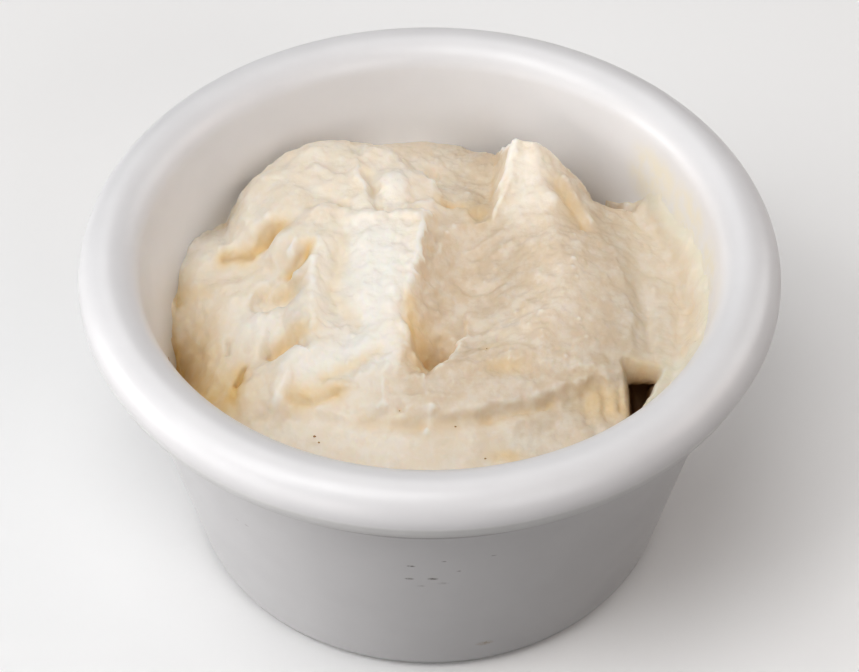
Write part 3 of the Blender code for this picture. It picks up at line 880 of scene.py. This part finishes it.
class Shading:
    """A material under construction: adds nodes and joins them up."""

    def __init__(self, name):
        self.material = bpy.data.materials.new(name)
        self.material.use_nodes = True
        self.tree = self.material.node_tree
        self.surface = self.tree.nodes["Principled BSDF"]
        self.place = self.node("ShaderNodeTexCoord").outputs["Object"]

    def node(self, kind, inputs=None, **settings):
        """A node with these settings, whose inputs are given values or sockets."""
        made = self.tree.nodes.new(kind)
        for key, value in settings.items():
            setattr(made, key, value)
        for key, value in (inputs or {}).items():
            self.feed(made.inputs[key], value)
        return made

    def feed(self, socket, value):
        """Join a socket to another one, or give it a value."""
        if isinstance(value, bpy.types.NodeSocket):
            self.tree.links.new(value, socket)
        elif hasattr(value, "__len__") and len(value) == 3 and socket.type == "RGBA":
            socket.default_value = (*value, 1)
        else:
            socket.default_value = value

    def math(self, operation, a, b, clamp=False):
        """A sum, product or other result of two values."""
        made = self.node("ShaderNodeMath", {0: a, 1: b}, operation=operation, use_clamp=clamp)
        return made.outputs[0]

    def times(self, *parts):
        """The product of several values."""
        product = parts[0]
        for part in parts[1:]:
            product = self.math("MULTIPLY", product, part)
        return product

    def vector(self, operation, a, b=(0, 0, 0), result="Vector"):
        """A result of two vectors."""
        made = self.node("ShaderNodeVectorMath", {0: a, 1: b}, operation=operation)
        return made.outputs[result]

    def noise(self, size, detail=2.0, roughness=0.5):
        """Noise with features about `size` millimetres wide, from 0 to 1."""
        made = self.node("ShaderNodeTexNoise",
                         {"Vector": self.place, "Scale": 1 / (size * MM),
                          "Detail": detail, "Roughness": roughness})
        return made.outputs["Fac"]

    def ramp(self, value, low, high, to_low=0.0, to_high=1.0):
        """Spread values from `low` to `high` smoothly over a new range."""
        made = self.node("ShaderNodeMapRange",
                         {"Value": value, "From Min": low, "From Max": high,
                          "To Min": to_low, "To Max": to_high},
                         interpolation_type="SMOOTHSTEP")
        return made.outputs["Result"]

    def mix(self, part, a, b):
        """Two colours mixed."""
        made = self.node("ShaderNodeMix", data_type="RGBA")
        self.feed(made.inputs["Factor"], part)
        self.feed(made.inputs["A"], a)
        self.feed(made.inputs["B"], b)
        return made.outputs["Result"]

    def near(self, centre, inner, outer, squash=1.0):
        """1 within `inner` millimetres of a point, falling to 0 at `outer`."""
        offset = self.vector("SUBTRACT", self.place, centre)
        offset = self.vector("MULTIPLY", offset, (1, 1, squash))
        return self.ramp(self.vector("LENGTH", offset, result="Value"), outer * MM, inner * MM)

    def band(self, height, levels, softness):
        """1 between two levels in millimetres, falling to 0 outside them."""
        low, high = levels
        above = self.ramp(height, (low - softness) * MM, low * MM)
        return self.times(above, self.ramp(height, (high + softness) * MM, high * MM))

    def attribute(self, name):
        """A value stored on the mesh."""
        return self.node("ShaderNodeAttribute", attribute_name=name).outputs["Fac"]

    def bump(self, height, strength, distance):
        """A surface normal that follows a height."""
        inputs = {"Height": height, "Strength": strength, "Distance": distance * MM}
        return self.node("ShaderNodeBump", inputs).outputs["Normal"]

    def finish(self, **inputs):
        """Give the surface these inputs, with spaces for underscores."""
        for key, value in inputs.items():
            self.feed(self.surface.inputs[key.replace("_", " ")], value)
        return self.material


def hummus_material(settings, film):
    """Moist, finely grainy paste: paler crests as painted light, golden hollows as painted shade.
    """
    shade = Shading("hummus")
    hollow = shade.attribute("hollow")
    fine_hollow = shade.attribute("fine_hollow")
    patchy = shade.ramp(shade.noise(1.6, 3), 0.25, 0.65, 0.7, 1.0)
    # Painted shade with some oil: golden in the patches and in the hollows
    oil_and_shade = shade.times(shade.attribute("golden"), patchy)
    oil_and_shade = shade.math("ADD", oil_and_shade, shade.ramp(hollow, 0.15, 1.8, 0.0, 0.35))
    golden = shade.math("ADD", oil_and_shade, shade.ramp(fine_hollow, 0.05, 0.5, 0.0, 0.24), clamp=True)
    # Painted light: crests that stand above their surroundings made paler
    crest_light = shade.math("ADD", shade.ramp(hollow, -0.1, -1.0, 0.0, 0.5),
                         shade.ramp(fine_hollow, -0.03, -0.25, 0.0, 0.5), clamp=True)
    # Painted shade: the side right of the crest, away from the light, made browner
    tone = shade.mix(shade.attribute("tan"), tuple(settings.paste), tuple(settings.tan))
    # Painted light: lit faces and crests made pale
    tone = shade.mix(shade.attribute("pale"), tone, tuple(settings.pale))
    mottling = shade.ramp(shade.noise(2.6, 4, 0.6), 0.38, 0.68, 0.0, 0.35)
    tone = shade.mix(mottling, tone, tuple(settings.pale))
    tone = shade.mix(crest_light, tone, tuple(settings.pale))
    tone = shade.mix(golden, tone, tuple(settings.golden))
    # Painted shade: deep brown in the hole, under its lip and in deep creases
    tone = shade.mix(shade.attribute("deep_shade"), tone, tuple(settings.deep_shade))
    tone = shade.mix(shade.attribute("film"), tone, film)
    normal = shade.bump(shade.noise(0.5, 3, 0.6), 0.48, 0.14)
    gloss = shade.ramp(shade.noise(1.4, 2), 0.3, 0.7, settings.roughness - 0.1,
                       settings.roughness + 0.12)
    return shade.finish(Base_Color=tone, Roughness=gloss, Normal=normal,
                        Subsurface_Weight=0.25, Subsurface_Scale=1.2 * MM,
                        Subsurface_Radius=(1.0, 0.65, 0.35), Specular_IOR_Level=0.45)


def speck_material(settings):
    """Brown seasoning, mottled lighter and darker."""
    shade = Shading("speck")
    tone = shade.mix(shade.noise(0.3, 2), tuple(settings.speck), tuple(settings.light_speck))
    return shade.finish(Base_Color=tone, Roughness=0.6,
                        Normal=shade.bump(shade.noise(0.2, 2), 0.4, 0.05))


def wall_place(pot, x, level):
    """A point on the front of the outer wall, in metres."""
    radius = pot.base_radius + pot.taper * level
    return Vector((x, -math.sqrt(radius ** 2 - x ** 2), level)) * MM


def wiped_share(shade, height):
    """Where the inside of the wall is thinly wiped with hummus, from 0 to 1."""
    wiped = 0.0
    for x, y, level, reach in WIPES:
        spot = shade.near(Vector((x, y, level)) * MM, 0.45 * reach, reach)
        wiped = shade.math("MAXIMUM", wiped, spot)
    below_rim = shade.ramp(height, 43.0 * MM, 39.5 * MM)
    streaks = shade.ramp(shade.noise(2.2, 4, 0.6), 0.3, 0.62, 0.35, 1.0)
    return shade.times(wiped, below_rim, streaks)


def rim_highlight_and_shade(shade, tone, height, settings):
    """The colour with a painted highlight on the rim's lower edge and painted shade beneath it."""
    flat = shade.vector("MULTIPLY", shade.place, (1, 1, 0))
    away = shade.vector("LENGTH", flat, result="Value")
    on_rim = shade.ramp(away, 40.5 * MM, 41.5 * MM)
    # Painted highlight: a band of the rim's lower edge made paler
    clean = shade.times(shade.band(height, RIM_HIGHLIGHT, 0.5), on_rim)
    tone = shade.mix(clean, tone, tuple(settings.clean))
    # Painted shade: the outer wall just under the rim darkened with the scuff colour
    outside = shade.ramp(away, 35.2 * MM, 35.8 * MM)
    shade_under_rim = shade.times(shade.band(height, RIM_SHADE, 0.6), outside, 0.45)
    return shade.mix(shade_under_rim, tone, tuple(settings.scuff_and_shade))


def ramekin_material(pot, settings):
    """Worn glossy white, wiped with hummus inside and scuffed outside."""
    shade = Shading("ramekin")
    body = tuple(settings.glaze)
    clouds = shade.ramp(shade.noise(9.0, 3), 0.3, 0.7, 0.0, 1.0)
    tone = shade.mix(clouds, body, tuple(0.975 * part for part in body))
    height = shade.node("ShaderNodeSeparateXYZ", {"Vector": shade.place}).outputs["Z"]
    wiped = wiped_share(shade, height)
    tone = shade.mix(shade.times(wiped, 0.9), tone, tuple(settings.stain))
    tone = rim_highlight_and_shade(shade, tone, height, settings)
    ragged = shade.ramp(shade.noise(0.35, 2), 0.35, 0.6, 0.35, 1.0)
    for x, level, long, strength in SCUFFS:
        spot = shade.near(wall_place(pot, x, level), 0.3 * long, 0.9 * long, squash=2.6)
        tone = shade.mix(shade.times(spot, ragged, strength), tone, tuple(settings.scuff_and_shade))
    x, level, long, strength = SPILL
    spill = shade.near(wall_place(pot, x, level), 0.2 * long, long, squash=2.0)
    tone = shade.mix(shade.times(spill, ragged, strength), tone, tuple(settings.spill))
    wear = shade.noise(5.0, 3, 0.5)
    gloss = shade.ramp(wear, 0.3, 0.75, settings.roughness - 0.03, settings.roughness + 0.06)
    gloss = shade.math("ADD", gloss, shade.times(wiped, 0.2))
    normal = shade.bump(shade.noise(8.0, 2), 0.12, 0.15)
    return shade.finish(Base_Color=tone, Roughness=gloss, Normal=normal)


# ---- Pieces -----------------------------------------------------------------------

def finished(name, mesh, material, sharp_degrees):
    """Make a mesh an object in metres that rides on the part's one body."""
    bmesh.ops.scale(mesh, vec=(MM, MM, MM), verts=mesh.verts)
    data = bpy.data.meshes.new(name)
    mesh.to_mesh(data)
    mesh.free()
    data.shade_smooth()
    data.set_sharp_from_angle(angle=math.radians(sharp_degrees))
    data.materials.append(material)
    piece = bpy.data.objects.new(name, data)
    bpy.context.scene.collection.objects.link(piece)
    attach(piece, "root")
    return piece


def store(piece, name, values):
    """Keep a value for each of the piece's first points on its mesh."""
    whole = np.zeros(len(piece.data.vertices), np.float32)
    whole[:len(values)] = values
    layer = piece.data.attributes.new(name, "FLOAT", "POINT")
    layer.data.foreach_set("value", whole)


class HUMMUS_OT_make_ramekin(bpy.types.Operator):
    """Make the white ramekin"""
    bl_idname = "hummus.make_ramekin"
    bl_label = "Make Ramekin"

    def execute(self, context):
        settings = context.scene.ramekin
        pot = Pot(settings)
        piece = finished("ramekin_shell", turn_ramekin(pot), ramekin_material(pot, settings), 30)
        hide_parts("ramekin")
        return {"FINISHED"}


class HUMMUS_OT_make_hummus(bpy.types.Operator):
    """Make the heap of hummus in the ramekin"""
    bl_idname = "hummus.make_hummus"
    bl_label = "Make Hummus"

    def execute(self, context):
        settings = context.scene.hummus
        pot = Pot(context.scene.ramekin)
        mesh = bmesh.new()
        bmesh.ops.create_grid(mesh, x_segments=GRID_CELLS, y_segments=GRID_CELLS, size=1)
        place = shape_top(pot, mesh, settings)
        close_plug(pot, mesh)
        film = tuple(context.scene.ramekin.stain)
        piece = finished("hummus_heap", mesh, hummus_material(settings, film), 180)
        x, y, _ = place.T
        store(piece, "hollow", hollowness(place, 60))
        store(piece, "fine_hollow", hollowness(place, 8))
        store(piece, "golden", total(x, y, GOLDEN_PATCHES))
        store(piece, "deep_shade", deep_shade_patches(place))
        store(piece, "tan", shade_tan_share(x, y))
        store(piece, "pale", lit_pale_share(x, y))
        store(piece, "film", film_share(pot, place))
        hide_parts("hummus")
        specks = finished("specks", lay_specks(place), speck_material(settings), 180)
        return {"FINISHED"}


# ---- Stage ------------------------------------------------------------------------

def aim(thing, target):
    """Turn an object to face a point."""
    direction = Vector(target) - thing.location
    thing.rotation_euler = direction.to_track_quat("-Z", "Y").to_euler()


def add_light(name, bearing, elevation, size, power, tint):
    """A square soft light that faces the ramekin."""
    data = bpy.data.lights.new(name, "AREA")
    data.size = size
    data.energy = power
    data.color = tint
    light = bpy.data.objects.new(name, data)
    flat = LIGHT_DISTANCE * math.cos(math.radians(elevation))
    light.location = (flat * math.sin(math.radians(bearing)),
                      -flat * math.cos(math.radians(bearing)),
                      LIGHT_DISTANCE * math.sin(math.radians(elevation)))
    bpy.context.scene.collection.objects.link(light)
    aim(light, (0, 0, 0.03))


class HUMMUS_OT_set_stage(bpy.types.Operator):
    """Set up the floor, the camera and the lights"""
    bl_idname = "hummus.set_stage"
    bl_label = "Set Stage"

    def execute(self, context):
        settings = context.scene.stage
        scene = context.scene
        scene.view_settings.view_transform = "Standard"
        scene.view_settings.look = "High Contrast"
        mesh = bmesh.new()
        bmesh.ops.create_grid(mesh, x_segments=1, y_segments=1, size=2.0)
        data = bpy.data.meshes.new("floor")
        mesh.to_mesh(data)
        mesh.free()
        shade = Shading("floor")
        data.materials.append(shade.finish(Base_Color=tuple(settings.floor), Roughness=0.9))
        floor = bpy.data.objects.new("floor", data)
        scene.collection.objects.link(floor)
        floor.visible_diffuse = False
        camera = bpy.data.objects.new("camera", bpy.data.cameras.new("camera"))
        camera.data.lens = settings.lens
        camera.data.clip_start = 0.01
        level = settings.aim_height + settings.distance * math.sin(settings.elevation)
        camera.location = (0, -settings.distance * math.cos(settings.elevation), level)
        aim(camera, (0, 0, settings.aim_height))
        scene.collection.objects.link(camera)
        scene.camera = camera
        world = bpy.data.worlds.new("studio")
        world.use_nodes = True
        backdrop = world.node_tree.nodes["Background"]
        backdrop.inputs["Color"].default_value = (1, 1, 1, 1)
        backdrop.inputs["Strength"].default_value = 0.02 * settings.brightness
        scene.world = world
        for name, bearing, elevation, size, power, tint in LIGHTS:
            add_light(name, bearing, elevation, size, power * settings.brightness, tint)
        return {"FINISHED"}


class HUMMUS_PT_panel(bpy.types.Panel):
    """Sizes, colours and makers of the ramekin of hummus"""
    bl_idname = "HUMMUS_PT_panel"
    bl_label = "Ramekin of Hummus"
    bl_space_type = "VIEW_3D"
    bl_region_type = "UI"
    bl_category = "Hummus"

    def draw(self, context):
        for group, makers in PANEL_PARTS:
            box = self.layout.box()
            settings = getattr(context.scene, group)
            for name in settings.__annotations__:
                box.prop(settings, name)
            for maker in makers:
                box.operator(maker.bl_idname)


PANEL_PARTS = (
    ("ramekin", (HUMMUS_OT_make_ramekin,)),
    ("hummus", (HUMMUS_OT_make_hummus,)),
    ("stage", (HUMMUS_OT_set_stage,)),
)
GROUPS = {"ramekin": RamekinSettings, "hummus": HummusSettings, "stage": StageSettings}
CLASSES = (*GROUPS.values(), HUMMUS_OT_make_ramekin, HUMMUS_OT_make_hummus,
           HUMMUS_OT_set_stage, HUMMUS_PT_panel)


def register():
    """Add the classes, and the settings on the scene."""
    for made in CLASSES:
        bpy.utils.register_class(made)
    for name, group in GROUPS.items():
        setattr(bpy.types.Scene, name, bpy.props.PointerProperty(type=group))


def unregister():
    """Take the settings and the classes away again."""
    for name in GROUPS:
        delattr(bpy.types.Scene, name)
    for made in reversed(CLASSES):
        bpy.utils.unregister_class(made)


def main():
    """Make everything in order."""
    register()
    bpy.ops.hummus.set_stage()
    bpy.ops.hummus.make_ramekin()
    bpy.ops.hummus.make_hummus()


if __name__ == "__main__":
    main()
